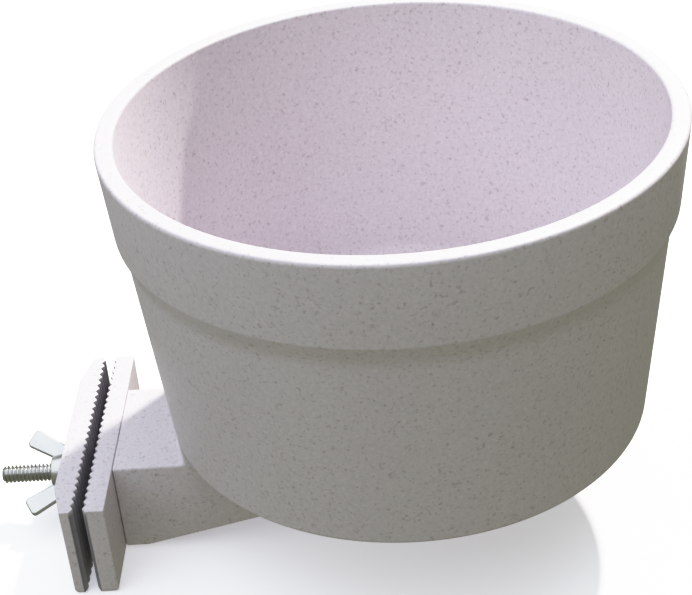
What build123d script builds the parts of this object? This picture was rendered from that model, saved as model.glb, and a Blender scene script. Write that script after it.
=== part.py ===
"""Seed cup for a wire cage: a round crock whose keel arm slides onto a bolted wire clamp.

Millimetres. The origin is on the bolt's axis, midway between the two serrated jaws.
+X points from the clamp to the crock, +Y along the jaws, away from the front view, and +Z up.
"""

import os

from build123d import *

# Crock bowl
rim_radius = 70.0
rim_land = 4.6
rim_round = 1.0
crock_height = 81.0
collar_depth = 26.7
collar_draft = 1.6
collar_step = 2.0
collar_bevel = 5.2
wall_draft = 4.8
base_wall = 2.8
base_round = 1.5
floor_thickness = 3.0
floor_fillet = 8.0

# Keel arm moulded under the bowl
arm_reach = 15.7
arm_width = 35.4
arm_height = 26.2
arm_drop = 7.8
arm_foot = 6.0
arm_blend = 2.0
keel_toe = 4.0
keel_nose_inset = 10.0
keel_skin = 2.8
keel_rib = 2.4
keel_columns = 6
keel_rows = 2
pocket_corner = 1.5

# Serrated jaws
jaw_gap = 2.4
jaw_width = 68.0
jaw_height = 27.0
jaw_round = 1.2
tooth_count = 25
tooth_depth = 0.9
bracket_thickness = 5.6
clamp_thickness = 6.1
clamp_end_thickness = 3.4
clamp_bevel_length = 10.5

# Dovetail on the bracket and its slot in the arm
tongue_neck_width = 16.0
tongue_back_width = 22.0
tongue_depth = 7.0
tongue_height = 20.7
slide_clearance = 0.2
seam_gap = 0.15

# Carriage bolt, washer and wing nut
bolt_diameter = 4.826
bolt_length = 38.1
bolt_tip_chamfer = 0.6
head_diameter = 11.4
head_height = 2.6
head_edge = 0.9
head_clearance = 0.3
neck_length = 3.0
neck_clearance = 0.05
hole_clearance = 0.3
washer_diameter = 12.7
washer_thickness = 1.2
hub_diameter = 10.4
hub_tip_diameter = 8.6
hub_height = 4.9
thread_clearance = 0.05
wing_thickness = 1.8
wing_length = 10.9
wing_width = 4.8
wing_round = 1.2
wing_sweep = 30.0
wing_root_height = 1.8
wing_root_radius = 4.8
wing_lean = 58.0

# Places along the bolt, from the crock outwards
bracket_crest_x = jaw_gap / 2
bracket_back_x = bracket_crest_x + bracket_thickness
tongue_back_x = bracket_back_x + tongue_depth
clamp_crest_x = -jaw_gap / 2
clamp_back_x = clamp_crest_x - clamp_thickness
nut_seat_x = clamp_back_x - washer_thickness
head_depth = head_height + head_clearance
head_seat_x = tongue_back_x - head_depth
bolt_tip_x = head_seat_x - bolt_length

# Radii of the bowl from its rim inwards and downwards
collar_foot_radius = rim_radius - collar_draft
wall_top_radius = collar_foot_radius - collar_step
base_radius = wall_top_radius - wall_draft
collar_foot_z = crock_height - collar_depth

# Where the crock stands against the clamp
arm_top_z = jaw_height / 2
arm_bottom_z = arm_top_z - arm_height
base_z = arm_top_z + arm_drop
arm_end_x = bracket_back_x + seam_gap
crock_axis_x = arm_end_x + arm_reach + base_radius
keel_nose_x = crock_axis_x + base_radius - keel_nose_inset
tongue_top_z = arm_bottom_z + tongue_height


def plate_between(outline, low, high):
    """A closed outline in plan, raised from one height to another."""
    return Pos(0, 0, low) * extrude(make_face(Polyline(*outline, close=True)), amount=high - low)


def turned_about_bowl(profile):
    """A half section in radius and height above the base, turned about the bowl's axis."""
    face = Plane.XZ * profile
    return Pos(crock_axis_x, 0, base_z) * revolve(face, Axis.Z)


def bowl_outside():
    """The bowl without its hollow: rounded base edge, drafted wall, bevelled step and collar."""
    section = make_face(
        Polyline(
            (0, 0),
            (base_radius, 0),
            (wall_top_radius, collar_foot_z),
            (collar_foot_radius, collar_foot_z + collar_bevel),
            (rim_radius, crock_height),
            (0, crock_height),
            close=True,
        )
    )
    base_corner = section.vertices().sort_by_distance((base_radius, 0, 0))[0]
    section = fillet(base_corner, base_round)
    rim_corner = section.vertices().sort_by_distance((rim_radius, crock_height, 0))[0]
    return turned_about_bowl(fillet(rim_corner, rim_round))


def bowl_hollow():
    """What the seed fills: one straight drafted wall with a large round at the floor."""
    mouth_radius = rim_radius - rim_land
    floor_radius = base_radius - base_wall
    section = make_face(
        Polyline(
            (0, floor_thickness),
            (floor_radius, floor_thickness),
            (mouth_radius, crock_height),
            (0, crock_height),
            close=True,
        )
    )
    floor_corner = section.vertices().sort_by_distance((floor_radius, floor_thickness, 0))[0]
    return turned_about_bowl(fillet(floor_corner, floor_fillet))


def keel():
    """The arm and the tapering keel that carries the bowl, ending in a round nose in plan."""
    side = Polyline(
        (arm_end_x, arm_bottom_z),
        (arm_end_x + arm_foot, arm_bottom_z),
        (keel_nose_x, base_z - keel_toe),
        (keel_nose_x, base_z + floor_thickness / 2),
        (crock_axis_x, base_z + floor_thickness / 2),
        (crock_axis_x, arm_top_z),
        (arm_end_x, arm_top_z),
        close=True,
    )
    prism = extrude(Plane.XZ * make_face(side), amount=arm_width / 2, both=True)
    nose_centre_x = keel_nose_x - arm_width / 2
    straight = Pos((arm_end_x + nose_centre_x) / 2) * Rectangle(nose_centre_x - arm_end_x, arm_width)
    plan = straight + Pos(nose_centre_x) * Circle(arm_width / 2)
    reach = arm_height + arm_drop + crock_height
    return prism & extrude(plan, amount=reach, both=True)


def wall_down_to_arm():
    """The bowl's drafted wall carried below the base, over the arm's width, and blended into its top."""
    foot_radius = base_radius - wall_draft * arm_drop / collar_foot_z
    toe_radius = foot_radius + 2 * arm_blend
    section = make_face(
        Polyline(
            (0, -arm_drop - keel_skin),
            (toe_radius, -arm_drop - keel_skin),
            (toe_radius, -arm_drop),
            (foot_radius, -arm_drop),
            (base_radius + wall_draft * base_round / collar_foot_z, base_round),
            (0, base_round),
            close=True,
        )
    )
    foot_corner = section.vertices().sort_by_distance((foot_radius, -arm_drop, 0))[0]
    wall = turned_about_bowl(fillet(foot_corner, arm_blend))
    height = 2 * (arm_drop + keel_skin)
    strip = Pos(crock_axis_x - toe_radius / 2, 0, base_z) * Box(toe_radius, arm_width, height)
    return wall & strip


def keel_pockets():
    """Moulded pockets from below, in rows and columns between ribs, under one even skin."""
    first_x = arm_end_x + tongue_depth + slide_clearance + keel_skin
    last_x = keel_nose_x - arm_width / 2
    column_pitch = (last_x - first_x + keel_rib) / keel_columns
    row_pitch = (arm_width - 2 * keel_skin + keel_rib) / keel_rows
    outline = RectangleRounded(column_pitch - keel_rib, row_pitch - keel_rib, pocket_corner)
    bowl_edge_x = crock_axis_x - base_radius
    pockets = []
    for column in range(keel_columns):
        start_x = first_x + column * column_pitch
        under_bowl = start_x > bowl_edge_x + keel_skin
        ceiling = base_z if under_bowl else arm_top_z - keel_skin
        for row in range(keel_rows):
            centre_x = start_x + (column_pitch - keel_rib) / 2
            centre_y = (row - (keel_rows - 1) / 2) * row_pitch
            place = Pos(centre_x, centre_y, ceiling)
            pockets.append(place * extrude(outline, amount=-(ceiling - arm_bottom_z)))
    return pockets


def dovetail(clearance):
    """The tongue in plan, as points, made wider and deeper all round by a clearance."""
    return [
        (bracket_back_x, -tongue_neck_width / 2 - clearance),
        (tongue_back_x + clearance, -tongue_back_width / 2 - clearance),
        (tongue_back_x + clearance, tongue_back_width / 2 + clearance),
        (bracket_back_x, tongue_neck_width / 2 + clearance),
    ]


def crock():
    """The one-piece moulding: bowl, collar, keel arm, dovetail slot and pockets."""
    body = bowl_outside() + keel() + wall_down_to_arm()
    body -= bowl_hollow()
    mouth_edge = body.edges().filter_by(GeomType.CIRCLE).group_by(Axis.Z)[-1].sort_by(SortBy.RADIUS)[0]
    body = fillet(mouth_edge, rim_round)
    for pocket in keel_pockets():
        body -= pocket
    return body - plate_between(dovetail(slide_clearance), arm_bottom_z, tongue_top_z)


def toothed_edge(crest_x, root_x):
    """The zigzag of a jaw's gripping face in plan, from one end of the jaw to the other."""
    pitch = jaw_width / tooth_count
    points = [(root_x, -jaw_width / 2)]
    for tooth in range(tooth_count):
        start = -jaw_width / 2 + tooth * pitch
        points.append((crest_x, start + pitch / 2))
        points.append((root_x, start + pitch))
    return points


def tooth_foot_bevel(crest_x, inward):
    """A slanting cut along the foot of a jaw's teeth, as deep as the rounds behind them."""
    foot = -jaw_height / 2
    corner = Polyline(
        (crest_x, foot),
        (crest_x + inward * jaw_round, foot),
        (crest_x, foot + jaw_round),
        close=True,
    )
    return extrude(Plane.XZ * make_face(corner), amount=jaw_width / 2, both=True)


def bracket_plate():
    """The fixed jaw: a serrated bar with the crock's dovetail and the bolt's seat behind it."""
    teeth = toothed_edge(bracket_crest_x, bracket_crest_x + tooth_depth)
    outline = teeth + [(bracket_back_x, jaw_width / 2), (bracket_back_x, -jaw_width / 2)]
    bar = plate_between(outline, -jaw_height / 2, jaw_height / 2)
    back_foot = bar.edges().group_by(Axis.Z)[0].group_by(Axis.X)[-1]
    bar = fillet(back_foot, jaw_round) - tooth_foot_bevel(bracket_crest_x, 1)
    bar += plate_between(dovetail(0), arm_bottom_z, tongue_top_z)
    neck_width = bolt_diameter + 2 * neck_clearance
    bar -= along_bolt(head_diameter / 2 + head_clearance, head_seat_x, tongue_back_x)
    bar -= Pos(head_seat_x - neck_length / 2) * Box(neck_length, neck_width, neck_width)
    return bar - along_bolt(bolt_diameter / 2 + hole_clearance, bracket_crest_x, head_seat_x)


def clamp_plate():
    """The loose jaw: a serrated bar that thins towards both ends on its outer face."""
    teeth = toothed_edge(clamp_crest_x, clamp_crest_x - tooth_depth)
    end_x = clamp_crest_x - clamp_end_thickness
    level_half = jaw_width / 2 - clamp_bevel_length
    outline = teeth + [
        (end_x, jaw_width / 2),
        (clamp_back_x, level_half),
        (clamp_back_x, -level_half),
        (end_x, -jaw_width / 2),
    ]
    bar = plate_between(outline, -jaw_height / 2, jaw_height / 2)
    foot = bar.edges().group_by(Axis.Z)[0]
    bar = fillet([edge for edge in foot if edge.center().X < end_x], jaw_round)
    bar -= tooth_foot_bevel(clamp_crest_x, -1)
    return bar - along_bolt(bolt_diameter / 2 + hole_clearance, clamp_back_x, clamp_crest_x)


def along_bolt(radius, start_x, end_x, end_radius=None):
    """A cylinder, or a cone to another radius, on the bolt's axis between two places."""
    far_radius = radius if end_radius is None else end_radius
    outline = Polyline((start_x, 0), (start_x, radius), (end_x, far_radius), (end_x, 0), close=True)
    return revolve(make_face(outline), Axis.X)


def clamp_bolt():
    """The carriage bolt: domed head, square neck and shank with a chamfered tip."""
    radius = bolt_diameter / 2
    rim_x = head_seat_x + head_edge
    crown_x = head_seat_x + head_height
    dome = SagittaArc((rim_x, head_diameter / 2), (rim_x, -head_diameter / 2), crown_x - rim_x)
    half_dome = dome.trim(0, 0.5)
    rest = Polyline(
        (crown_x, 0),
        (bolt_tip_x, 0),
        (bolt_tip_x, radius - bolt_tip_chamfer),
        (bolt_tip_x + bolt_tip_chamfer, radius),
        (head_seat_x, radius),
        (head_seat_x, head_diameter / 2),
        (rim_x, head_diameter / 2),
    )
    turned = revolve(make_face([half_dome, rest]), Axis.X)
    neck = Pos(head_seat_x - neck_length / 2) * Box(neck_length, bolt_diameter, bolt_diameter)
    return turned + neck


def flat_washer():
    """The plain washer between the loose jaw and the wing nut."""
    disc = along_bolt(washer_diameter / 2, nut_seat_x, clamp_back_x)
    return disc - along_bolt(bolt_diameter / 2 + hole_clearance, nut_seat_x, clamp_back_x)


def wing_nut():
    """A tapered hub with two flat wings, swept away from the jaw and leaning back at rest."""
    hub_end_x = nut_seat_x - hub_height
    hub = along_bolt(hub_tip_diameter / 2, hub_end_x, nut_seat_x, hub_diameter / 2)
    root = Pos(nut_seat_x - wing_root_height, wing_root_radius) * Rot(0, 0, 180 - wing_sweep)
    outline = root * Pos(wing_length / 2) * RectangleRounded(wing_length, wing_width, wing_round)
    wing = extrude(Plane.XZ * outline, amount=wing_thickness / 2, both=True)
    bore = along_bolt(bolt_diameter / 2 + thread_clearance, hub_end_x, nut_seat_x)
    nut = hub + wing + Rot(180, 0, 0) * wing - bore
    return Rot(-wing_lean, 0, 0) * nut


pieces = {
    "crock": crock(),
    "bracket_plate": bracket_plate(),
    "clamp_plate": clamp_plate(),
    "clamp_bolt": clamp_bolt(),
    "flat_washer": flat_washer(),
    "wing_nut": wing_nut(),
}

os.makedirs("parts", exist_ok=True)
for name, piece in pieces.items():
    export_step(piece, f"parts/{name}.step")
    print(name, round(piece.volume, 1), "mm3")
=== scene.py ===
# %% [markdown]
# # A seed cup that clamps to a wire cage
# The real cup is a round crock moulded in speckled plastic, with an arm under it that slides
# onto a small clamp. The clamp is two toothed jaws, a bolt, a washer and a wing nut.
# The CAD model gives the places and the moving bodies. This lesson makes the surfaces that
# a camera sees, one piece at a time, in the CAD model's own frame.

from math import radians

import bmesh
import bpy
import numpy as np
from mathutils import Matrix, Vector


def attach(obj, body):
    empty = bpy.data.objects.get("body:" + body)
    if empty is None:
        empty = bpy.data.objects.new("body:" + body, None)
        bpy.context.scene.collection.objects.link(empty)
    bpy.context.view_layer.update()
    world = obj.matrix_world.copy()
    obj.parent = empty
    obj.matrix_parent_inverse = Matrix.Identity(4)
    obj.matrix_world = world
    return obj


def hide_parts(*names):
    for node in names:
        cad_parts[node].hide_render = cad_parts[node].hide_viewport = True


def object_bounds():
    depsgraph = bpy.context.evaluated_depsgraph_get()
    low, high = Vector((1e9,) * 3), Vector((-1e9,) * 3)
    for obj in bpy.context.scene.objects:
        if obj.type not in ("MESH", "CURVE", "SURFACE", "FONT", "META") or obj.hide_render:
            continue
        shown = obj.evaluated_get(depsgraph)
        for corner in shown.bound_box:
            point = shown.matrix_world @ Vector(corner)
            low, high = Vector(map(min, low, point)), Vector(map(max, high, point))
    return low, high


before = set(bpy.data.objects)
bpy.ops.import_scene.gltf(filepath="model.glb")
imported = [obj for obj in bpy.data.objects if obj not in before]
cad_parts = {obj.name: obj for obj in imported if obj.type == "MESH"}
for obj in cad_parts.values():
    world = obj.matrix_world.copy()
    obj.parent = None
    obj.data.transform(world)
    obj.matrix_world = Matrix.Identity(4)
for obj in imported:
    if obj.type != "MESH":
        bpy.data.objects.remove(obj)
cad_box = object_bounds()
scene = bpy.context.scene

# %% [markdown]
# ## Surfaces from arrays
# Every piece here is a grid of points: rows along a path, columns round it. Blender could build
# such shapes with Spin and Extrude, but arrays let one formula place every point at once, and
# the faces follow from the grid's own numbering. Lengths stay in millimetres until the mesh is
# made, because the parts are small and a maker thinks in millimetres.

# %% Make a closed surface from rows of points
MM = 0.001
MERGE_DISTANCE = 1e-7


def cells_of_grid(rows, columns, close_rows):
    """Corner numbers of each cell of a grid whose columns wrap round, and its rows if closed."""
    row = np.arange(rows if close_rows else rows - 1)
    row, column = np.meshgrid(row, np.arange(columns), indexing="ij")
    next_row = (row + 1) % rows
    next_column = (column + 1) % columns
    corners = [
        row * columns + column,
        row * columns + next_column,
        next_row * columns + next_column,
        next_row * columns + column,
    ]
    return np.stack(corners, axis=-1).reshape(-1, 4)


def ladder(ring):
    """Faces that fill a ring of points, as rungs from its first half to its second half."""
    half = len(ring) // 2
    there, back = ring[:half], ring[::-1][:half]
    return np.stack([there[:-1], there[1:], back[1:], back[:-1]], axis=-1)


def surface(name, points, close_rows=False, capped=""):
    """An object on rows of points in millimetres, with its "start" and "end" rows capped.

    Equal points, as at a pole, are merged, and all faces are turned outwards.
    """
    rows, columns = points.shape[:2]
    ring = np.arange(columns)
    faces = [cells_of_grid(rows, columns, close_rows)]
    if "start" in capped:
        faces.append(ladder(ring))
    if "end" in capped:
        faces.append(ladder(ring + (rows - 1) * columns))
    mesh = bpy.data.meshes.new(name)
    mesh.from_pydata((points.reshape(-1, 3) * MM).tolist(), [], np.concatenate(faces).tolist())
    shell = bmesh.new()
    shell.from_mesh(mesh)
    bmesh.ops.remove_doubles(shell, verts=shell.verts, dist=MERGE_DISTANCE)
    bmesh.ops.recalc_face_normals(shell, faces=shell.faces)
    shell.to_mesh(mesh)
    shell.free()
    piece = bpy.data.objects.new(name, mesh)
    scene.collection.objects.link(piece)
    return piece


print("points closer than", MERGE_DISTANCE, "m are merged")

# %% [markdown]
# ## Joining, cutting and softening
# Some shapes are easiest to say as one solid added to or cut from another. Blender's Boolean
# does that, and it is applied at once so that later steps see a plain mesh. A moulding has no
# knife edges, so a Bevel rounds what is left sharp, and shading is smooth across small angles.


# %% Booleans and soft edges
def combine(piece, tool, operation):
    """One Boolean of a piece with a second closed piece, which is used up."""
    change = piece.modifiers.new("combine", "BOOLEAN")
    change.operation = operation
    change.solver = "EXACT"
    change.object = tool
    bpy.context.view_layer.update()
    evaluated = piece.evaluated_get(bpy.context.evaluated_depsgraph_get())
    result = bpy.data.meshes.new_from_object(evaluated)
    piece.modifiers.clear()
    piece.data = result
    bpy.data.objects.remove(tool)


def soften(piece, width=0.0, smooth_angle=32.0, segments=2):
    """Shades a piece smooth up to an angle, and rounds its sharper edges by a small width."""
    piece.data.shade_smooth()
    piece.data.set_sharp_from_angle(angle=radians(smooth_angle))
    if width:
        edge = piece.modifiers.new("moulded edges", "BEVEL")
        edge.width = width * MM
        edge.segments = segments
        edge.limit_method = "ANGLE"
        edge.angle_limit = radians(smooth_angle)
        edge.harden_normals = True


print("two finishing steps: combine and soften")

# %% [markdown]
# ## Outlines with rounded corners
# Almost every outline here is a few straight runs with an arc at each corner. Bevel could round
# them later, but an arc that is worked out in the outline keeps the radius that the real part
# has and costs few faces.


# %% Rounded paths and loops
def unit(vectors):
    """Vectors of length one in the same directions."""
    return vectors / np.linalg.norm(vectors, axis=-1, keepdims=True)


def rounded_path(corners, radii, steps=8):
    """An open path of straight runs, with a circular arc at each corner between its two ends.

    The arc's centre lies on the corner's bisector, and a spoke from the centre turns evenly
    from the point where it touches one run to the point where it touches the other.
    """
    corners = np.asarray(corners, float)
    radii = np.broadcast_to(np.asarray(radii, float), len(corners) - 2)[:, None]
    here = corners[1:-1]
    back = unit(corners[:-2] - here)
    ahead = unit(corners[2:] - here)
    half = 0.5 * np.arccos(np.clip((back * ahead).sum(-1), -1, 1))[:, None]
    centre = here + unit(back + ahead) * radii / np.sin(half)
    first = here + back * radii / np.tan(half) - centre
    last = here + ahead * radii / np.tan(half) - centre
    turn = (np.pi - 2 * half)[:, :, None]
    share = np.linspace(0, 1, steps + 1)[None, :, None]
    spokes = np.sin((1 - share) * turn) * first[:, None] + np.sin(share * turn) * last[:, None]
    arcs = centre[:, None] + spokes / np.sin(turn)
    return np.concatenate([corners[:1], arcs.reshape(-1, 2), corners[-1:]])


def rounded_loop(corners, radii, steps=6):
    """A closed outline with an arc at every corner."""
    corners = np.asarray(corners, float)
    ring = np.concatenate([corners[-1:], corners, corners[:1]])
    return rounded_path(ring, radii, steps)[1:-1]


def inward_of(loop):
    """At each point of a closed counter-clockwise outline, the direction into it."""
    along = unit(np.roll(loop, -1, 0) - loop) + unit(loop - np.roll(loop, 1, 0))
    return unit(np.stack([-along[:, 1], along[:, 0]], axis=-1))


sample = rounded_loop([(0, 0), (9, 0), (9, 9), (0, 9)], 1)
print("a square with rounded corners has", len(sample), "points")

# %% [markdown]
# ## Carrying an outline
# A bar or a cutter is an outline carried straight, with a quarter round where it starts and
# ends. A washer, a hub or a hole is a section carried round the bolt. Extrude and Spin would do
# the same by hand, but rows of points can also be drawn in on the way, which makes the rounds.


# %% Straight and turned pieces
def rounded_heights(low, high, round_low, round_high, steps=5):
    """Heights of rows with a quarter round at each end, and how far each row is drawn in.

    On a round of radius R, a row at height R(1 - cos s) from the end is drawn in by R(1 - sin s).
    """
    quarter = np.linspace(0, np.pi / 2, steps + 1)
    rise, draw = 1 - np.cos(quarter), 1 - np.sin(quarter)
    heights = np.concatenate([low + round_low * rise, (high - round_high * rise)[::-1]])
    return heights, np.concatenate([round_low * draw, (round_high * draw)[::-1]])


def prism_rows(loop, low, high, round_low=0.0, round_high=0.0, steps=5):
    """Rows of a prism over an outline, drawn in along the outline's normal on its rounds."""
    heights, draw = rounded_heights(low, high, round_low, round_high, steps)
    plan = loop[None] + draw[:, None, None] * inward_of(loop)[None]
    level = np.broadcast_to(heights[:, None, None], plan.shape[:2] + (1,))
    return np.concatenate([plan, level], axis=-1)


def spun_about_bolt(profile, columns=64):
    """Points of a profile of place along the bolt and radius, carried round the bolt's axis."""
    angle = np.linspace(0, 2 * np.pi, columns, endpoint=False)
    along, radius = profile[:, :1], profile[:, 1:]
    points = np.broadcast_arrays(along, radius * np.cos(angle), radius * np.sin(angle))
    return np.stack(points, axis=-1)


print("straight and turned pieces are ready to use")

# %% [markdown]
# ## The crock's bowl
# The bowl is a turned shape: a flat base, a wall that leans out slightly, a bevelled step up to
# a deeper collar, a flat rim, and a plain inside with a large round at the floor. A lathe is the
# natural way, so one half section is carried round the upright axis. The rounds are in the
# section itself, because the light on the rim and on the collar's step shows their true radius.

# %% Turn the bowl
AXIS_X = 84.25
BASE_Z = 21.3
BASE_RADIUS = 61.6
WALL_TOP_RADIUS = 66.4
COLLAR_FOOT_RADIUS = 68.4
RIM_RADIUS = 70.0
WALL_TOP = 54.3
COLLAR_BEVEL = 5.2
CROCK_HEIGHT = 81.0
RIM_LAND = 4.6
BASE_WALL = 2.8
FLOOR_THICKNESS = 3.0
BOWL_COLUMNS = 256

bowl_corners = [
    (0, 0),
    (BASE_RADIUS, 0),
    (WALL_TOP_RADIUS, WALL_TOP),
    (COLLAR_FOOT_RADIUS, WALL_TOP + COLLAR_BEVEL),
    (RIM_RADIUS, CROCK_HEIGHT),
    (RIM_RADIUS - RIM_LAND, CROCK_HEIGHT),
    (BASE_RADIUS - BASE_WALL, FLOOR_THICKNESS),
    (0, FLOOR_THICKNESS),
]
bowl_rounds = [1.5, 15.0, 2.0, 1.0, 1.0, 8.0]


def turned_about_bowl(profile):
    """Points of a half section of radius and height above the base, carried round the axis."""
    angle = np.linspace(0, 2 * np.pi, BOWL_COLUMNS, endpoint=False)
    radius, height = profile[:, :1], profile[:, 1:]
    x = AXIS_X + radius * np.cos(angle)
    points = np.broadcast_arrays(x, radius * np.sin(angle), BASE_Z + height)
    return np.stack(points, axis=-1)


crock = surface("crock_moulding", turned_about_bowl(rounded_path(bowl_corners, bowl_rounds)))
print("bowl:", len(crock.data.polygons), "faces")

# %% [markdown]
# ## Across and along the arm
# The arm is part of the same moulding. It starts at a flat end against the clamp, its top runs
# level and turns up into the bowl's wall, and its underside slopes up to a round nose below the
# far side of the bowl. A box pushed into the bowl would be quicker, but it would meet the wall in
# a hard corner. So two things are worked out first: the places across the arm, close together on
# its rounded long edges, and the line where its top turns up into the wall.

# %% The arm's edges and its rise into the wall
ARM_END_X = 6.95
ARM_HALF = 17.7
ARM_TOP_Z = 13.5
ARM_BOTTOM_Z = -12.7
ARM_FOOT_X = 12.95
ARM_BLEND = 1.2
ARM_EDGE = 0.7
ARM_EDGE_POINTS = 5
ARM_LEVEL_POINTS = 13
RISE_PAST_BASE = 1.1
WALL_SLOPE = (WALL_TOP_RADIUS - BASE_RADIUS) / WALL_TOP
WALL_ROW_TOP_Z = BASE_Z + RISE_PAST_BASE


def wall_radius(z):
    """Radius of the bowl's leaning wall at a height, carried on below the base as well."""
    return BASE_RADIUS + WALL_SLOPE * (z - BASE_Z)


def across_arm():
    """Places across the arm, closer on its rounded long edges, and how far each edge sinks."""
    turn = np.linspace(0, np.pi / 2, ARM_EDGE_POINTS)
    edge = ARM_HALF - ARM_EDGE + ARM_EDGE * np.sin(turn)
    sink = ARM_EDGE * (1 - np.cos(turn))
    level = np.linspace(-edge[0], edge[0], ARM_LEVEL_POINTS)[1:-1]
    place = np.concatenate([-edge[::-1], level, edge])
    return place, np.concatenate([sink[::-1], 0 * level, sink])


def rise_into_wall(y, sink):
    """The rows that turn up from the arm's top into the wall, as x and z.

    They follow a path of radius and height about the bowl's axis. A point of it lies at
    x = axis - sqrt(radius^2 - y^2), moved in along the path's normal on the long edges.
    """
    foot = (wall_radius(ARM_TOP_Z), ARM_TOP_Z)
    top = (wall_radius(WALL_ROW_TOP_Z), WALL_ROW_TOP_Z)
    path = rounded_path([(foot[0] + 2 * ARM_BLEND, ARM_TOP_Z), foot, top], ARM_BLEND)[1:]
    along = unit(np.gradient(path, axis=0))
    along[0] = (-1, 0)
    radius = path[:, :1] - sink * along[:, 1:]
    return AXIS_X - np.sqrt(radius**2 - y**2), path[:, 1:] + sink * along[:, :1]


print("the wall meets the arm's top at radius", round(wall_radius(ARM_TOP_Z), 2), "mm")

# %% [markdown]
# ## The arm as a profile carried along a path
# Each row is now a loop round the arm: along its underside one way, back along its top the other
# way. The loops start at the flat end, pass the rise into the wall, and go on under the bowl as
# a keel, where they narrow like a circle to make the round nose.

# %% Loops along the arm and keel
END_EDGE = 0.2
NOSE_X = 135.85
NOSE_Z = 17.3
NOSE_CENTRE_X = NOSE_X - ARM_HALF
NOSE_ROWS = 15
KEEL_START_X = 32.0
KEEL_PAST_BASE = 1.5
KEEL_TOP_Z = BASE_Z + KEEL_PAST_BASE
KEEL_ROWS = 28
FOOT_ROUND = 6.0
# Where the rows of the level top lie, as shares of the way from the arm's end to the wall.
LEVEL_SHARES = (0.0, 0.0125, 0.35, 0.7)


def keel_rows(y):
    """Places along the keel and its width there, narrowing as a circle towards the nose."""
    nose_turn = np.linspace(0, np.pi / 2, NOSE_ROWS + 1)[1:]
    x = np.linspace(KEEL_START_X, NOSE_CENTRE_X, KEEL_ROWS)
    x = np.concatenate([x, NOSE_CENTRE_X + ARM_HALF * np.sin(nose_turn)])
    narrow = np.concatenate([np.ones(KEEL_ROWS), np.cos(nose_turn)])
    return np.broadcast_to(x[:, None], (len(x), len(y))), narrow[:, None] * y


def arm_loops():
    """Loops round the arm: level top, rise into the wall, then the keel to its nose."""
    y, sink = across_arm()
    rise_x, rise_z = rise_into_wall(y, sink)
    keel_x, keel_y = keel_rows(y)
    share = np.array(LEVEL_SHARES)[:, None]
    level_x = ARM_END_X + share * (rise_x[0] - ARM_END_X)
    level_z = np.broadcast_to(ARM_TOP_Z - sink, level_x.shape)

    top_x = np.concatenate([level_x, rise_x, keel_x])
    top_z = np.concatenate([level_z, rise_z, np.full(keel_x.shape, KEEL_TOP_Z)])
    straight = np.ones((len(level_x) + len(rise_x), 1))
    width = np.concatenate([straight * y, keel_y])

    under_rise = np.linspace(rise_x[0, 0], KEEL_START_X, len(rise_x) + 1)[:-1]
    under_x = np.concatenate([level_x[:, 0], under_rise, keel_x[:, 0]])[:, None]
    slope = [(ARM_END_X, ARM_BOTTOM_Z), (ARM_FOOT_X, ARM_BOTTOM_Z), (NOSE_X, NOSE_Z)]
    path = rounded_path(slope, FOOT_ROUND)
    under_z = np.interp(under_x, path[:, 0], path[:, 1]) + sink
    under = np.stack(np.broadcast_arrays(under_x, width, under_z), axis=-1)
    over = np.stack([top_x, width, top_z], axis=-1)
    loops = np.concatenate([under, over[:, ::-1]], axis=1)

    middle = loops[0].mean(axis=0)
    half_height = (ARM_TOP_Z - ARM_BOTTOM_Z) / 2
    loops[0, :, 1:] -= (loops[0, :, 1:] - middle[1:]) * END_EDGE / (ARM_HALF, half_height)
    return loops


arm = surface("arm", arm_loops(), capped="start")
print("arm:", len(arm.data.polygons), "faces")

# %% [markdown]
# ## Pockets and the dovetail slot
# A thick keel would sink and warp as it cools, so the moulding is cored out from below, and its
# end has a dovetail slot for the bracket. Both are cuts by straight prisms, for which a Boolean
# is the plainest tool. The arm is cut first and then joined to the bowl, so the bowl's underside
# closes the pockets from above.

# %% Core out the keel
POCKET_FIRST_X = 16.95
POCKET_COLUMNS = 6
POCKET_ROWS = 2
RIB = 2.4
SKIN = 2.8
POCKET_CORNER = 1.5
POCKET_CEILING_ROUND = 0.8
ROOF_LEFT = 0.6
BELOW_ALL_Z = ARM_BOTTOM_Z - 2.0

column_pitch = (NOSE_CENTRE_X - POCKET_FIRST_X + RIB) / POCKET_COLUMNS
row_pitch = (2 * ARM_HALF - 2 * SKIN + RIB) / POCKET_ROWS
long, wide = column_pitch - RIB, row_pitch - RIB
pocket_outline = rounded_loop([(0, 0), (long, 0), (long, wide), (0, wide)], POCKET_CORNER, steps=4)
for column in range(POCKET_COLUMNS):
    ceiling = KEEL_TOP_Z - ROOF_LEFT if column else ARM_TOP_Z - SKIN
    for row in range(POCKET_ROWS):
        corner = (POCKET_FIRST_X + column * column_pitch, SKIN - ARM_HALF + row * row_pitch)
        outline = pocket_outline + corner
        rows = prism_rows(outline, BELOW_ALL_Z, ceiling, 0, POCKET_CEILING_ROUND)
        combine(arm, surface("pocket", rows, capped="start end"), "DIFFERENCE")
print(POCKET_COLUMNS * POCKET_ROWS, "pockets, each", round(long, 1), "by", round(wide, 1), "mm")

# %% [markdown]
# ## The dovetail slot, and one moulding
# The slot is wider at its back than at its mouth, so the crock can only come off upwards. After
# this cut the arm and the bowl become one closed mesh, as they are one moulding on the real cup,
# and a small Bevel rounds the edges where they meet.

# %% Cut the slot and join the arm to the bowl
SLOT_TOP_Z = 8.05
SLOT_MOUTH_X = 6.8
SLOT_BACK_X = 14.0
SLOT_MOUTH_HALF = 8.2
SLOT_BACK_HALF = 11.2
MOULDED_EDGE = 0.35
# How far a cutter goes on past the face that it cuts.
CUT_PAST = 1.0


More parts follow.
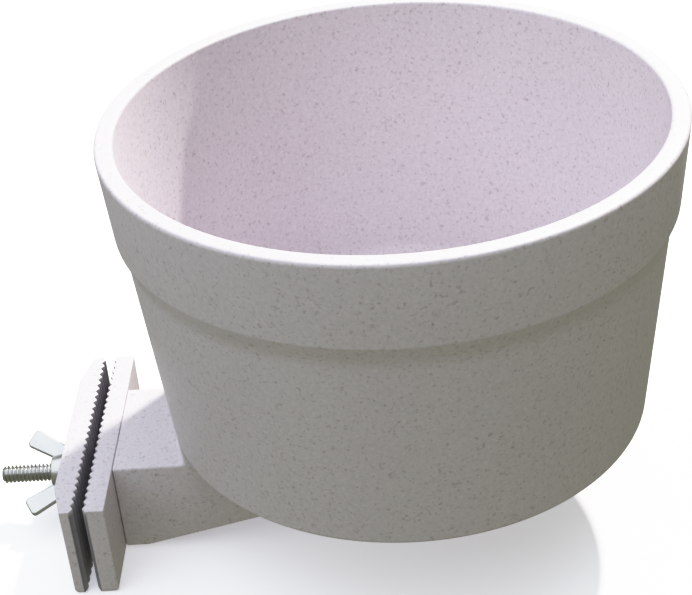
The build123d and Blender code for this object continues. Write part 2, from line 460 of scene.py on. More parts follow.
def dovetail(start_x, mouth_x, mouth_half, back_x, back_half):
    """A dovetail's outline in plan, its slanting sides carried on to a place before its mouth."""
    lean = (back_half - mouth_half) / (back_x - mouth_x)
    start_half = mouth_half - lean * (mouth_x - start_x)
    return np.array(
        [(start_x, -start_half), (back_x, -back_half), (back_x, back_half), (start_x, start_half)]
    )


slot = dovetail(
    SLOT_MOUTH_X - CUT_PAST, SLOT_MOUTH_X, SLOT_MOUTH_HALF, SLOT_BACK_X, SLOT_BACK_HALF
)
slot_rows = prism_rows(slot, BELOW_ALL_Z, SLOT_TOP_Z, steps=1)
combine(arm, surface("slot", slot_rows, capped="start end"), "DIFFERENCE")
combine(crock, arm, "UNION")
soften(crock, MOULDED_EDGE)
print("crock:", len(crock.data.polygons), "faces, one closed moulding")

# %% [markdown]
# ## The two toothed jaws
# Each jaw is a bar whose gripping face is a row of upright teeth. An Array of one wedge could make
# them, but its copies would have to be welded. Here the teeth are one wave along the bar: a
# triangle wave with its tips and roots slightly rounded, as moulding leaves them. The outline in
# plan is carried upwards. At the foot the teeth are cut back along a round, while the back of the
# bar is drawn in to meet it.

# %% Rows of a jaw
JAW_HALF = 34.0
JAW_HALF_HEIGHT = 13.5
JAW_FOOT_ROUND = 1.2
JAW_TOP_ROUND = 0.3
JAW_END_SHARE = 0.3
JAW_CREST = 1.2
TOOTH_COUNT = 25
TOOTH_DEPTH = 0.9
TOOTH_SHARPNESS = 0.985
POINTS_PER_TOOTH = 16


def tooth_wave(y):
    """Depth below the crests along a jaw: a triangle wave, arcsine of k cosine over arcsine of k."""
    turn = np.pi * TOOTH_COUNT * (y + JAW_HALF) / JAW_HALF
    wave = np.arcsin(TOOTH_SHARPNESS * np.cos(turn)) / np.arcsin(TOOTH_SHARPNESS)
    return TOOTH_DEPTH * (1 + wave) / 2


def spread_evenly(path, count):
    """A given number of points at equal steps along a path."""
    steps = np.linalg.norm(np.diff(path, axis=0), axis=1)
    run = np.concatenate([[0], np.cumsum(steps)])
    share = np.linspace(0, run[-1], count)
    return np.stack([np.interp(share, run, path[:, 0]), np.interp(share, run, path[:, 1])], axis=-1)


def jaw_rows(back, side):
    """Rows of a jaw: its toothed face towards the gap, a given back outline away from it."""
    heights, draw = rounded_heights(
        -JAW_HALF_HEIGHT, JAW_HALF_HEIGHT, JAW_FOOT_ROUND, JAW_TOP_ROUND
    )
    heights, draw = heights[:, None], draw[:, None]
    y = np.linspace(-JAW_HALF, JAW_HALF, TOOTH_COUNT * POINTS_PER_TOOTH + 1)
    back = spread_evenly(back, len(y))
    teeth_x = side * (JAW_CREST + np.maximum(tooth_wave(y), draw))
    x = np.concatenate([teeth_x, back[:, 0] - side * draw], axis=1)
    ends = 1 - JAW_END_SHARE * draw / JAW_HALF
    across = np.concatenate([y, back[:, 1]]) * ends
    return np.stack(np.broadcast_arrays(x, across, heights), axis=-1)


print("tooth pitch", round(2 * JAW_HALF / TOOTH_COUNT, 2), "mm")

# %% [markdown]
# ## Backs of the jaws
# The fixed jaw has a plain flat back. The loose jaw is thick in the middle, where the washer
# presses, and thins towards both ends. A Bevel could soften its bends, but they are wide rounds
# that catch the light, so they are in the outline with a radius of their own.

# %% Make both jaws
BRACKET_BACK_X = 6.8
CLAMP_BACK_X = -7.3
CLAMP_END_X = -4.6
CLAMP_LEVEL_HALF = 23.5
BRACKET_CORNER = 0.35
CLAMP_CORNER = 0.4
CLAMP_BEND = 3.0

bracket_corners = [
    (0, JAW_HALF),
    (BRACKET_BACK_X, JAW_HALF),
    (BRACKET_BACK_X, -JAW_HALF),
    (0, -JAW_HALF),
]
bracket_back = rounded_path(bracket_corners, BRACKET_CORNER)[1:-1]
clamp_corners = [
    (0, JAW_HALF),
    (CLAMP_END_X, JAW_HALF),
    (CLAMP_BACK_X, CLAMP_LEVEL_HALF),
    (CLAMP_BACK_X, -CLAMP_LEVEL_HALF),
    (CLAMP_END_X, -JAW_HALF),
    (0, -JAW_HALF),
]
clamp_rounds = [CLAMP_CORNER, CLAMP_BEND, CLAMP_BEND, CLAMP_CORNER]
clamp_back = rounded_path(clamp_corners, clamp_rounds)[1:-1]
bracket = surface("bracket_jaw", jaw_rows(bracket_back, 1), capped="start end")
clamp = surface("clamp_jaw", jaw_rows(clamp_back, -1), capped="start end")
print("jaws:", len(bracket.data.polygons), "and", len(clamp.data.polygons), "faces")

# %% [markdown]
# ## Dovetail tongue, holes and the bolt's seat
# Behind the fixed jaw stands the dovetail that the crock slides onto, and the bolt's head is
# sunk into its back. The holes are cut as round and square prisms along the bolt, so the bolt
# passes through real holes and not through solid plastic.

# %% Finish the jaws
TONGUE_MOUTH_HALF = 8.0
TONGUE_BACK_HALF = 11.0
TONGUE_BACK_X = 13.8
TONGUE_TOP_Z = 8.0
TONGUE_ROOT = 2.0
TONGUE_CORNER = 0.5
TONGUE_END_ROUND = 0.4
HEAD_SEAT_X = 10.9
HEAD_POCKET_RADIUS = 6.0
NECK_LENGTH = 3.0
NECK_HOLE_HALF = 2.463
NECK_HOLE_PAST = 0.5
BOLT_HOLE_RADIUS = 2.713
HOLE_OVERLAP = 0.2


def bolt_cutter(name, radius, start_x, end_x):
    """A round cutter on the bolt's axis."""
    profile = np.array([(start_x, 0), (start_x, radius), (end_x, radius), (end_x, 0)])
    return surface(name, spun_about_bolt(profile))


tongue = dovetail(
    BRACKET_BACK_X - TONGUE_ROOT,
    BRACKET_BACK_X,
    TONGUE_MOUTH_HALF,
    TONGUE_BACK_X,
    TONGUE_BACK_HALF,
)
tongue = rounded_loop(tongue, TONGUE_CORNER)
tongue_rows = prism_rows(tongue, ARM_BOTTOM_Z, TONGUE_TOP_Z, TONGUE_END_ROUND, TONGUE_END_ROUND)
combine(bracket, surface("tongue", tongue_rows, capped="start end"), "UNION")
seat = bolt_cutter("seat", HEAD_POCKET_RADIUS, HEAD_SEAT_X, TONGUE_BACK_X + CUT_PAST)
combine(bracket, seat, "DIFFERENCE")
square = NECK_HOLE_HALF * np.array([(-1, -1), (1, -1), (1, 1), (-1, 1)])
neck_start_x = HEAD_SEAT_X - NECK_LENGTH
square_rows = prism_rows(square, neck_start_x, HEAD_SEAT_X + NECK_HOLE_PAST, steps=1)
square_hole = surface("square_hole", square_rows[..., [2, 0, 1]], capped="start end")
combine(bracket, square_hole, "DIFFERENCE")
round_hole = bolt_cutter("hole", BOLT_HOLE_RADIUS, 0, neck_start_x + HOLE_OVERLAP)
combine(bracket, round_hole, "DIFFERENCE")
clamp_hole = bolt_cutter("hole", BOLT_HOLE_RADIUS, CLAMP_BACK_X - CUT_PAST, 0)
combine(clamp, clamp_hole, "DIFFERENCE")
soften(bracket)
soften(clamp)
print("jaws with holes:", len(bracket.data.polygons), "and", len(clamp.data.polygons), "faces")

# %% [markdown]
# ## The thread
# The thread has to be real geometry, because its bright crests are what the eye sees on a bolt.
# A Screw modifier could wind a profile, but one surface is simpler: rows along the bolt, columns
# round it, and a radius that depends on both. Moving the wave by one pitch per turn winds it.

# %% Radius of the thread
INCH = 25.4
BOLT_RADIUS = 2.413
THREAD_PITCH = 1.0583
THREAD_DEPTH = 0.6
CREST_SHARE = 0.125
ROOT_SHARE = 0.25
THREAD_END_X = 4.5


def thread_radius(x, angle):
    """Radius of a right-hand thread: a triangle wave of x less angle, cut flat at crest and root."""
    turn = x / THREAD_PITCH - angle / (2 * np.pi)
    wave = 1 - np.abs(2 * (turn - np.floor(turn)) - 1)
    height = np.clip((wave - ROOT_SHARE) / (1 - ROOT_SHARE - CREST_SHARE), 0, 1)
    fade = np.clip((THREAD_END_X - x) / THREAD_PITCH, 0, 1)
    return BOLT_RADIUS - THREAD_DEPTH * (1 - height) * fade


print("thread:", round(INCH / THREAD_PITCH), "turns to the inch")

# %% [markdown]
# ## The carriage bolt in one surface
# The bolt goes from the pole at its tip over the thread and the square neck to the pole on its
# domed head. All of it is one grid: the neck is the same ring of points pushed out to a square,
# and the dome is a cap of a large sphere.

# %% Make the bolt
BOLT_TIP_X = -27.2
TIP_CHAMFER = 0.7
ROWS_PER_PITCH = 14
BOLT_COLUMNS = 56
THREAD_SMOOTH_ANGLE = 28.0
NECK_RAMP = 0.4
NECK_CORNER_SHARE = 1.32
HEAD_RADIUS = 5.7
HEAD_EDGE = 0.9
HEAD_CHAMFER = 0.25
HEAD_CHAMFER_HEIGHT = 0.15
HEAD_RIM_LEAD = 0.1
HEAD_CROWN_X = 13.5
DOME_ROWS = 14


def bolt_sections(angle):
    """Places along the bolt and the radius all round at each, from tip to head."""
    count = int((THREAD_END_X - BOLT_TIP_X) / THREAD_PITCH * ROWS_PER_PITCH)
    shank_x = np.linspace(BOLT_TIP_X, THREAD_END_X, count)
    chamfer = BOLT_RADIUS - TIP_CHAMFER + (shank_x - BOLT_TIP_X)
    shank = np.minimum(thread_radius(shank_x[:, None], angle), chamfer[:, None])

    square = BOLT_RADIUS / np.maximum(np.abs(np.cos(angle)), np.abs(np.sin(angle)))
    square = np.minimum(square, NECK_CORNER_SHARE * BOLT_RADIUS)
    neck_x = neck_start_x + np.array([0.0, NECK_RAMP, NECK_LENGTH])
    neck = np.stack([np.full_like(angle, BOLT_RADIUS), square, square])

    rim_x = HEAD_SEAT_X + HEAD_EDGE
    dome = HEAD_CROWN_X - rim_x
    sphere = (HEAD_RADIUS**2 + dome**2) / (2 * dome)
    dome_radius = np.linspace(HEAD_RADIUS, 0, DOME_ROWS)
    dome_x = HEAD_CROWN_X - sphere + np.sqrt(sphere**2 - dome_radius**2)
    edge_x = [HEAD_SEAT_X, HEAD_SEAT_X + HEAD_CHAMFER_HEIGHT, rim_x - HEAD_RIM_LEAD]
    edge_radius = [HEAD_RADIUS - HEAD_CHAMFER, HEAD_RADIUS, HEAD_RADIUS]
    head_x = np.concatenate([edge_x, dome_x])
    head_radius = np.concatenate([edge_radius, dome_radius])

    head = np.broadcast_to(head_radius[:, None], (len(head_x), len(angle)))
    tip = np.zeros((1, len(angle)))
    places = np.concatenate([[BOLT_TIP_X], shank_x, neck_x, head_x])
    return places, np.concatenate([tip, shank, neck, head])


bolt_angle = np.linspace(0, 2 * np.pi, BOLT_COLUMNS, endpoint=False)
bolt_x, bolt_radius = bolt_sections(bolt_angle)
bolt_points = np.broadcast_arrays(
    bolt_x[:, None], bolt_radius * np.cos(bolt_angle), bolt_radius * np.sin(bolt_angle)
)
bolt = surface("carriage_bolt", np.stack(bolt_points, axis=-1))
soften(bolt, smooth_angle=THREAD_SMOOTH_ANGLE)
print("bolt:", len(bolt.data.polygons), "faces")

# %% [markdown]
# ## The washer
# The washer is a flat ring of sheet steel. A short cylinder with a hole would do, but the real
# one's punched edges are slightly round, and that gives it the thin bright line that tells it from
# the nut. So it is a small closed section with rounded corners, carried round the bolt.

# %% Turn the washer
WASHER_RADIUS = 6.35
WASHER_EDGE = 0.25
WASHER_COLUMNS = 96
NUT_SEAT_X = -8.5

ring_corners = [
    (NUT_SEAT_X, BOLT_HOLE_RADIUS),
    (CLAMP_BACK_X, BOLT_HOLE_RADIUS),
    (CLAMP_BACK_X, WASHER_RADIUS),
    (NUT_SEAT_X, WASHER_RADIUS),
]
ring = spun_about_bolt(rounded_loop(ring_corners, WASHER_EDGE, steps=4), WASHER_COLUMNS)
washer = surface("flat_washer_ring", ring, close_rows=True)
soften(washer)
print("washer:", len(washer.data.polygons), "faces")

# %% [markdown]
# ## The wing nut
# The nut is a tapered hub with two flat wings that sweep away from the jaw and widen to their
# tips. Hub and wings are separate closed shapes that a Boolean joins, and a fine Bevel then gives
# the seams between them the round of a casting.

# %% Make the wing nut
HUB_END_X = -13.4
HUB_RADIUS = 5.2
HUB_TIP_RADIUS = 4.3
HUB_COLUMNS = 72
CAST_EDGE = 0.25
NUT_BORE = 2.463
WING_THICKNESS = 1.8
WING_LENGTH = 10.9
WING_ROOT_WIDTH = 4.5
WING_TIP_WIDTH = 5.4
WING_ROUND = 1.2
WING_EDGE = 0.55
WING_SWEEP = radians(30.0)
WING_LEAN = radians(58.0)
WING_ROOT_X = -10.3
WING_ROOT_RADIUS = 4.8


def wing_rows(side):
    """A flat wing that widens to its tip, swept back from the bolt, then leaned over.

    The wing is drawn in the plane of bolt and radius, given a rounded thickness across that
    plane, and turned about the bolt. The second wing is on the other side of the bolt.
    """
    root, tip = WING_ROOT_WIDTH / 2, WING_TIP_WIDTH / 2
    corners = [(0, -root), (WING_LENGTH, -tip), (WING_LENGTH, tip), (0, root)]
    outline = rounded_loop(corners, WING_ROUND)
    half = WING_THICKNESS / 2
    rows = prism_rows(outline, -half, half, WING_EDGE, WING_EDGE, steps=4)
    length, width, thick = rows[..., 0], rows[..., 1], rows[..., 2]
    x = WING_ROOT_X - length * np.cos(WING_SWEEP) - width * np.sin(WING_SWEEP)
    radius = WING_ROOT_RADIUS + length * np.sin(WING_SWEEP) - width * np.cos(WING_SWEEP)
    y = side * (radius * np.sin(WING_LEAN) + thick * np.cos(WING_LEAN))
    z = side * (radius * np.cos(WING_LEAN) - thick * np.sin(WING_LEAN))
    return np.stack([x, y, z], axis=-1)


hub_corners = [
    (HUB_END_X, NUT_BORE),
    (NUT_SEAT_X, NUT_BORE),
    (NUT_SEAT_X, HUB_RADIUS),
    (HUB_END_X, HUB_TIP_RADIUS),
]
hub_rounds = [0.25, 0.25, 0.3, 0.5]
hub = spun_about_bolt(rounded_loop(hub_corners, hub_rounds, steps=4), HUB_COLUMNS)
nut = surface("wing_nut_casting", hub, close_rows=True)
for side in (1, -1):
    combine(nut, surface("wing", wing_rows(side), capped="start end"), "UNION")
soften(nut, CAST_EDGE, segments=3)
print("wing nut:", len(nut.data.polygons), "faces")

# %% [markdown]
# ## Building shaders in code
# Materials are graphs of nodes. They could be drawn by hand in the Shader Editor, but code can be
# read and run again. A few short helpers keep it close to how one would speak of such a graph: a
# node with its inputs, a sum, a mix, a ramp, and a group with named sockets that several materials
# can share.


# %% Helpers for nodes
def new_node(tree, kind, inputs=None, **settings):
    """A new node with its settings. Each input is linked to a socket or given a value."""
    made = tree.nodes.new(kind)
    for key, value in settings.items():
        setattr(made, key, value)
    for socket, source in (inputs or {}).items():
        if isinstance(source, bpy.types.NodeSocket):
            tree.links.new(source, made.inputs[socket])
        else:
            made.inputs[socket].default_value = source
    return made


def computed(tree, operation, *values):
    """The value of one Math node."""
    inputs = dict(enumerate(values))
    return new_node(tree, "ShaderNodeMath", inputs, operation=operation).outputs[0]


def mixed(tree, share, first, second):
    """The colour of one Mix node, going from the first to the second colour.

    A Mix node for colours has its share at socket 0, and its two colours at sockets 6 and 7.
    """
    inputs = {0: share, 6: first, 7: second}
    return new_node(tree, "ShaderNodeMix", inputs, data_type="RGBA").outputs[2]


def ramped(tree, value, start, end, low=0.0, high=1.0, **settings):
    """A value taken from one range to another by a Map Range node, and held at both ends."""
    inputs = {"Value": value, "From Min": start, "From Max": end, "To Min": low, "To Max": high}
    return new_node(tree, "ShaderNodeMapRange", inputs, **settings).outputs["Result"]


def new_group(name, inputs, outputs):
    """A shader node group with named sockets, its input node and its output node."""
    group = bpy.data.node_groups.new(name, "ShaderNodeTree")
    group.interface.new_socket("Vector", in_out="INPUT", socket_type="NodeSocketVector")
    for label, value in inputs.items():
        socket = group.interface.new_socket(label, in_out="INPUT", socket_type="NodeSocketFloat")
        socket.default_value = value
    for label in outputs:
        group.interface.new_socket(label, in_out="OUTPUT", socket_type="NodeSocketFloat")
    given = group.nodes.new("NodeGroupInput").outputs
    made = group.nodes.new("NodeGroupOutput").inputs
    return group, given, made


print("node helpers ready")

# %% [markdown]
# ## Scattered specks
# The plastic has fine flecks right through it, and plating has small dull spots. Both are small
# ragged patches scattered through space, so they share one group. It is a noise of which only
# the peaks show. Dots from a Voronoi texture would be simpler to size, but they look too round.


# %% Group for specks
def speck_group():
    """Specks: where a noise stands above a limit, fading in over an edge. Seeds vary it."""
    group, given, made = new_group(
        "scattered_specks", {"Per Metre": 1000.0, "Seed": 0.0, "Limit": 0.6, "Edge": 0.18}, ["Mask"]
    )
    noise = new_node(
        group,
        "ShaderNodeTexNoise",
        {"Vector": given["Vector"], "W": given["Seed"], "Scale": given["Per Metre"]},
        noise_dimensions="4D",
    )
    full = computed(group, "ADD", given["Limit"], given["Edge"])
    peaks = ramped(
        group, noise.outputs[0], given["Limit"], full, interpolation_type="SMOOTHSTEP"
    )
    group.links.new(peaks, made["Mask"])
    return group


specks = speck_group()
print("group:", specks.name)

# %% [markdown]
# ## Grain
# Neither finish is perfectly even. A painted image could carry that, but noise has no seams and
# needs no unwrapping. A fine noise gives the skin its slight unevenness, and a slow noise lets tone
# and gloss drift over a few centimetres.


# %% Group for grain
def grain_group():
    """Grain: a fine noise for the surface's height and a slow one for its tone."""
    group, given, made = new_group(
        "fine_grain", {"Grain Per Metre": 1500.0, "Cloud Per Metre": 40.0}, ["Height", "Cloud"]
    )
    layers = [("Height", "Grain Per Metre", 3.0), ("Cloud", "Cloud Per Metre", 2.0)]
    for socket, scale, detail in layers:
        noise = new_node(
            group,
            "ShaderNodeTexNoise",
            {"Vector": given["Vector"], "Scale": given[scale], "Detail": detail},
        )
        group.links.new(noise.outputs[0], made[socket])
    return group


grain = grain_group()
print("group:", grain.name)

# %% [markdown]
# ## The plastic's flecks
# The plastic is a pale grey with a hint of lilac, and light, brown and dark flecks. One busy
# texture could give them all, but each kind has its own size and colour, so the same group is
# placed three times with different values. Coordinates are the object's own, so the flecks stay
# in the plastic when a piece moves.

# %% Flecked tone
PLASTIC_SHADE = (0.65, 0.59, 0.635, 1)
PLASTIC_PALE = (0.71, 0.65, 0.695, 1)
MOTTLE_TONE = (0.44, 0.41, 0.43, 1)
MOTTLE_SHARE = 0.25
MOTTLE_START = 0.35
MOTTLE_END = 0.65
LIGHT_FLECKS = {"Per Metre": 1250.0, "Seed": 3.0, "Limit": 0.57}
BROWN_FLECKS = {"Per Metre": 780.0, "Seed": 7.0, "Limit": 0.59}
DARK_FLECKS = {"Per Metre": 1050.0, "Seed": 11.0, "Limit": 0.56}
# Each kind of fleck with its strength and its colour.
FLECKS = [
    (LIGHT_FLECKS, 0.36, (0.84, 0.82, 0.83, 1)),
    (BROWN_FLECKS, 0.46, (0.29, 0.20, 0.17, 1)),
    (DARK_FLECKS, 0.40, (0.21, 0.17, 0.20, 1)),
]


def new_material(name):
    """A material, its node tree, its shader and the object's own coordinates."""
    material = bpy.data.materials.new(name)
    material.use_nodes = True
    tree = material.node_tree
    place = new_node(tree, "ShaderNodeTexCoord").outputs["Object"]
    return material, tree, tree.nodes["Principled BSDF"].inputs, place


def place_group(tree, group, place, values):
    """The outputs of a node group that is placed in a material with its own values."""
    made = tree.nodes.new("ShaderNodeGroup")
    made.node_tree = group
    tree.links.new(place, made.inputs["Vector"])
    for label, value in values.items():
        made.inputs[label].default_value = value
    return made.outputs


def flecked_tone(tree, place, skin):
    """The plastic's colour: a drifting pale tone, mottled, with three kinds of fleck over it."""
    tone = mixed(tree, skin["Cloud"], PLASTIC_SHADE, PLASTIC_PALE)
    mottle = ramped(tree, skin["Height"], MOTTLE_START, MOTTLE_END)
    layers = [(mottle, MOTTLE_SHARE, MOTTLE_TONE)]
    for values, strength, colour in FLECKS:
        layers.append((place_group(tree, specks, place, values)["Mask"], strength, colour))
    for mask, strength, colour in layers:
        tone = mixed(tree, computed(tree, "MULTIPLY", mask, strength), tone, colour)
    return tone


print("kinds of fleck:", len(FLECKS))

# %% [markdown]
# ## Painted shade between the teeth
# The toothed faces in the gap carry painted shade: a little darker on the crests and darker still in
# the roots, where the narrow gap between the jaws is in shade. It could be painted by hand. Here it
# follows from the place on the jaw, because the depth in a tooth is just the distance from the
# middle of the gap. No other plastic comes so near to that middle, so one material can serve all
# three plastic pieces.

# %% Painted shade on the teeth
# Painted shade: a dark tone laid on the toothed faces, where shade falls in the gap between the
# jaws.
GAP_SHADE_TONE = (0.13, 0.135, 0.16, 1)
GAP_SHADE_SHARE = 0.85
CREST_SHADE = 0.65
# Distances behind the roots and below the top face at which the painted shade ends and is full.
ROOT_SHADE_END = 0.3
ROOT_SHADE_FULL = 0.1
TOP_SHADE_END = 0.2
TOP_SHADE_FULL = 1.5


def tooth_painted_shade(tree, place):
    """Share of painted shade in the gap: more from crest to root, none behind the roots or at the
    top face.
    """
    axes = new_node(tree, "ShaderNodeSeparateXYZ", {0: place}).outputs
    depth = computed(tree, "ABSOLUTE", axes["X"])
    crest, root, top = JAW_CREST, JAW_CREST + TOOTH_DEPTH, JAW_HALF_HEIGHT
    ramps = [
        (depth, crest, root, CREST_SHADE),
        (depth, root + ROOT_SHADE_END, root + ROOT_SHADE_FULL, 0.0),
        (axes["Z"], top - TOP_SHADE_END, top - TOP_SHADE_FULL, 0.0),
    ]
    gap_shade = GAP_SHADE_SHARE
    for value, start, end, low in ramps:
        ramp = ramped(tree, value, start * MM, end * MM, low)
        gap_shade = computed(tree, "MULTIPLY", ramp, gap_shade)
    return gap_shade


print("dust on a crest:", round(GAP_SHADE_SHARE * CREST_SHADE, 2), "and in a root:", GAP_SHADE_SHARE)

# %% [markdown]
# ## The plastic's skin
# The moulding is satin, neither glossy nor chalky. One roughness all over would be simpler, but a
# slow drift keeps large walls from looking painted. The fine grain could be real relief, but it is
# far finer than the faces of the mesh, so a Bump node gives it.

# %% Plastic
PLASTIC_GRAIN = {"Grain Per Metre": 1100.0, "Cloud Per Metre": 28.0}
PLASTIC_ROUGHNESS = (0.42, 0.56)


def add_grain(tree, shader, height, strength, depth):
    """Turns a height into the shader's normal by a Bump node, with its depth in millimetres."""
    inputs = {"Strength": strength, "Distance": depth * MM, "Height": height}
    bump = new_node(tree, "ShaderNodeBump", inputs)
    tree.links.new(bump.outputs[0], shader["Normal"])


def speckled_plastic():
    """Satin plastic: the flecked tone under a painted shade in the jaws' gap, a drifting roughness
    and a fine grain.
    """
    material, tree, shader, place = new_material("speckled_plastic")
    skin = place_group(tree, grain, place, PLASTIC_GRAIN)
    tone = flecked_tone(tree, place, skin)
    # Painted shade: the toothed faces in the jaws' gap are darkened towards the roots.
    gap_shaded = mixed(tree, tooth_painted_shade(tree, place), tone, GAP_SHADE_TONE)
    tree.links.new(gap_shaded, shader["Base Color"])
    roughness = ramped(tree, skin["Cloud"], 0.0, 1.0, *PLASTIC_ROUGHNESS)
    tree.links.new(roughness, shader["Roughness"])
    add_grain(tree, shader, skin["Height"], strength=0.12, depth=0.2)
    return material


plastic = speckled_plastic()
print("material:", plastic.name)

# %% [markdown]
# ## Zinc plate
# The bolt, washer and nut are plated steel. One even bright metal would be simpler, but it would
# look like chrome. Plating is duller: it is slightly cloudy, with a few spots where it has been
# handled. The same two groups give both.

# %% Zinc
ZINC_DULL = (0.42, 0.42, 0.41, 1)
ZINC_BRIGHT = (0.61, 0.60, 0.585, 1)
ZINC_GRAIN = {"Grain Per Metre": 2600.0, "Cloud Per Metre": 180.0}
ZINC_ROUGHNESS = (0.22, 0.40)
SPOT_TONE = (0.40, 0.41, 0.41, 1)
SPOT_SHARE = 0.35
SPOTS = {"Per Metre": 600.0, "Seed": 5.0, "Limit": 0.60}


def zinc_steel():
    """Zinc plate: bright metal, slightly cloudy, with a fine grain and a few dull spots."""
    material, tree, shader, place = new_material("zinc_steel")
    film = place_group(tree, grain, place, ZINC_GRAIN)
    spots = place_group(tree, specks, place, SPOTS)
    tone = mixed(tree, film["Cloud"], ZINC_DULL, ZINC_BRIGHT)
    dull = computed(tree, "MULTIPLY", spots["Mask"], SPOT_SHARE)
    tree.links.new(mixed(tree, dull, tone, SPOT_TONE), shader["Base Color"])
    shader["Metallic"].default_value = 1.0
    roughness = ramped(tree, film["Cloud"], 0.0, 1.0, *ZINC_ROUGHNESS)
    tree.links.new(roughness, shader["Roughness"])
    add_grain(tree, shader, film["Height"], strength=0.1, depth=0.1)
    return material


zinc = zinc_steel()
print("material:", zinc.name)

# %% [markdown]
# ## Hand the pieces to the moving bodies
# Each new piece stands for one CAD node and rides on that node's body, so the crock still lifts
# off its bracket, and the nut still carries the loose jaw along the bolt. The calls could follow
# each piece, but one list shows at a glance what moves with what.

# %% Ride and replace
dressed = [
    (crock, "crock", "cup", "speckled_plastic", plastic),
    (bracket, "bracket_plate", "bracket", "speckled_plastic", plastic),
    (clamp, "clamp_plate", "jaw", "speckled_plastic", plastic),
    (bolt, "clamp_bolt", "bracket", "zinc_steel", zinc),
    (washer, "flat_washer", "jaw", "zinc_steel", zinc),
    (nut, "wing_nut", "nut", "zinc_steel", zinc),
]
for piece, cad_node, body, finish, material in dressed:
    piece.data.materials.clear()
    piece.data.materials.append(material)
    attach(piece, body)
    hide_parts(cad_node)
    print(piece.name, "stands for", cad_node, "and rides on", body)

# %% [markdown]
# ## Floor
# The floor is plain and pale and lies just below the jaws. It could be a curved backdrop, but a
# flat square is enough, because its edge is far off, and a faint glow keeps it pale out there. It
# shows the shadow but sends no light back up. The dim light of the room does that evenly, so that
# the walls keep the plain shade that they have in the photograph.

# %% Lay the floor
FLOOR_GAP = 0.3
FLOOR_HALF = 20000.0
FLOOR_SHADE = (0.86, 0.85, 0.83, 1)
FLOOR_PALE = (0.90, 0.89, 0.87, 1)
FLOOR_GRAIN = {"Grain Per Metre": 300.0, "Cloud Per Metre": 3.0}
FLOOR_GLOW = (0.90, 0.89, 1.0, 1)
FLOOR_GLOW_STRENGTH = 0.4

floor_z = cad_box[0][2] / MM - FLOOR_GAP
floor_corners = FLOOR_HALF * np.array([(-1, -1, 0), (1, -1, 0), (1, 1, 0), (-1, 1, 0)])
floor_corners[:, 2] = floor_z
floor_mesh = bpy.data.meshes.new("floor")
floor_mesh.from_pydata((floor_corners * MM).tolist(), [], [(0, 1, 2, 3)])
floor = bpy.data.objects.new("floor", floor_mesh)
scene.collection.objects.link(floor)
floor_paint, floor_tree, floor_shader, floor_place = new_material("pale_floor")
floor_skin = place_group(floor_tree, grain, floor_place, FLOOR_GRAIN)
floor_tone = mixed(floor_tree, floor_skin["Cloud"], FLOOR_SHADE, FLOOR_PALE)
floor_tree.links.new(floor_tone, floor_shader["Base Color"])
floor_shader["Roughness"].default_value = 0.8
floor_shader["Emission Color"].default_value = FLOOR_GLOW
floor_shader["Emission Strength"].default_value = FLOOR_GLOW_STRENGTH
floor_mesh.materials.append(floor_paint)
floor.visible_diffuse = False
floor.visible_glossy = False
print("floor at", round(floor_z, 2), "mm")

# %% [markdown]
# ## Light
# Two lights are enough. A small bright one stands high, behind and to the right, and draws the
# shadow across the arm. A Sun could do that too, but an area light has a size, which softens the
# shadow's edge more the further it falls. A very large soft one overhead acts as a pale sky: it
# fills the inside of the bowl, and it is what the bright metal mirrors. The room itself adds a dim,
# slightly warm light from all sides. Past the floor, the camera sees a plain pale backdrop.

# %% Set the lights
LIGHT_TARGET = np.array([0.06, 0.0, 0.04])
ROOM_TONE = (0.97, 1.0, 0.74, 1)
ROOM_STRENGTH = 0.28
BACKDROP_TONE = (0.60, 0.60, 0.58, 1)


def soft_light(name, towards, distance, size, power, colour):
    """A square area light at a distance in a direction from the target, facing the target."""
    lamp = bpy.data.lights.new(name, "AREA")
    lamp.energy = power
    lamp.size = size
    lamp.color = colour
    holder = bpy.data.objects.new(name, lamp)
    scene.collection.objects.link(holder)
    back = unit(np.array(towards))
    right = unit(np.cross((0.0, 1.0, 0.0), back))
    turned = np.eye(4)
    turned[:3, :3] = np.stack([right, np.cross(back, right), back], axis=-1)
    turned[:3, 3] = LIGHT_TARGET + distance * back
    holder.matrix_world = Matrix(turned.tolist())


soft_light(
    "window",
    towards=(0.355, 0.567, 0.743),
    distance=1.4,
    size=0.06,
    power=29.0,
    colour=(1.0, 0.97, 0.93),
)
soft_light(
    "overhead",
    towards=(-0.30, -0.05, 0.95),
    distance=1.3,
    size=2.6,
    power=37.0,
    colour=(0.79, 0.86, 1.0),
)
world = bpy.data.worlds.new("dim_room")
scene.world = world
world.use_nodes = True
room = world.node_tree
dim = room.nodes["Background"]
dim.inputs["Color"].default_value = ROOM_TONE
dim.inputs["Strength"].default_value = ROOM_STRENGTH
backdrop = new_node(room, "ShaderNodeBackground", {"Color": BACKDROP_TONE})
seen = new_node(room, "ShaderNodeLightPath").outputs["Is Camera Ray"]
inputs = {0: seen, 1: dim.outputs[0], 2: backdrop.outputs[0]}
shown = new_node(room, "ShaderNodeMixShader", inputs)
room.links.new(shown.outputs[0], room.nodes["World Output"].inputs["Surface"])

# %% [markdown]
# ## Soft highlights
# A screen stops at white, and light does not, so sunlit plastic would come out as a flat white
# patch. A ready-made view transform could prevent that, but it would change every tone. This
# curve leaves the tones as they are up to a limit, and bends brighter ones over below white.

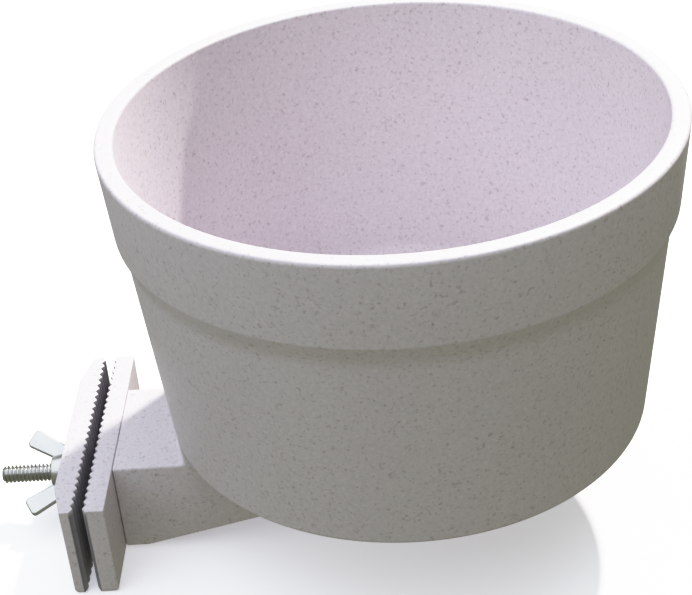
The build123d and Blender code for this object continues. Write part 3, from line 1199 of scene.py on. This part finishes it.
# %% Bend the bright tones
BRIGHTEST = 3.0
BEND_START = 0.7
CURVE_LIGHTS = (0.35, 0.7, 0.85, 1.0, 1.2, 1.5, 2.0)
ALL_CHANNELS = 3


def bent(light):
    """A tone kept up to the bend. Past it, the rest of the way to white falls off as e^-x."""
    rest = 1 - BEND_START
    past = np.maximum(light - BEND_START, 0) / rest
    return np.minimum(light, BEND_START) + rest * (1 - np.exp(-past))


view = scene.view_settings
view.view_transform = "Standard"
view.use_curve_mapping = True
tones = view.curve_mapping
tones.white_level = (BRIGHTEST, BRIGHTEST, BRIGHTEST)
tones.extend = "HORIZONTAL"
curve = tones.curves[ALL_CHANNELS].points
curve[-1].location = (1.0, bent(BRIGHTEST))
for light in CURVE_LIGHTS:
    curve.new(light / BRIGHTEST, bent(light))
tones.update()
print("full light is shown as", round(float(bent(1.0)), 3))

# %% [markdown]
# ## Camera
# The camera's place, turn and focal length come from a pinhole camera that was fitted to the rim,
# the base, the jaws and the bolt in the photograph. Placing it by eye would be quicker, but the
# edges would then miss those in the photograph. Three directions make its matrix: right, up and
# back.

# %% Set the camera
IMAGE_WIDTH = 692
FOCAL_PIXELS = 1589.0
SENSOR_WIDTH = 36.0
CAMERA_PLACE = np.array([86.68, -339.36, 267.26])
YAW, PITCH, ROLL = np.radians([-2.771, 32.530, -4.977])

forward = np.array([np.sin(YAW) * np.cos(PITCH), np.cos(YAW) * np.cos(PITCH), -np.sin(PITCH)])
level = np.array([np.cos(YAW), -np.sin(YAW), 0.0])
upright = np.cross(level, forward)
turned = np.eye(4)
turned[:3, 0] = np.cos(ROLL) * level + np.sin(ROLL) * upright
turned[:3, 1] = np.cos(ROLL) * upright - np.sin(ROLL) * level
turned[:3, 2] = -forward
turned[:3, 3] = CAMERA_PLACE * MM
lens = bpy.data.cameras.new("camera")
lens.sensor_width = SENSOR_WIDTH
lens.lens = FOCAL_PIXELS * SENSOR_WIDTH / IMAGE_WIDTH
lens.clip_start = 0.01
camera = bpy.data.objects.new("camera", lens)
scene.collection.objects.link(camera)
camera.matrix_world = Matrix(turned.tolist())
scene.camera = camera
print("focal length", round(lens.lens, 2), "mm")
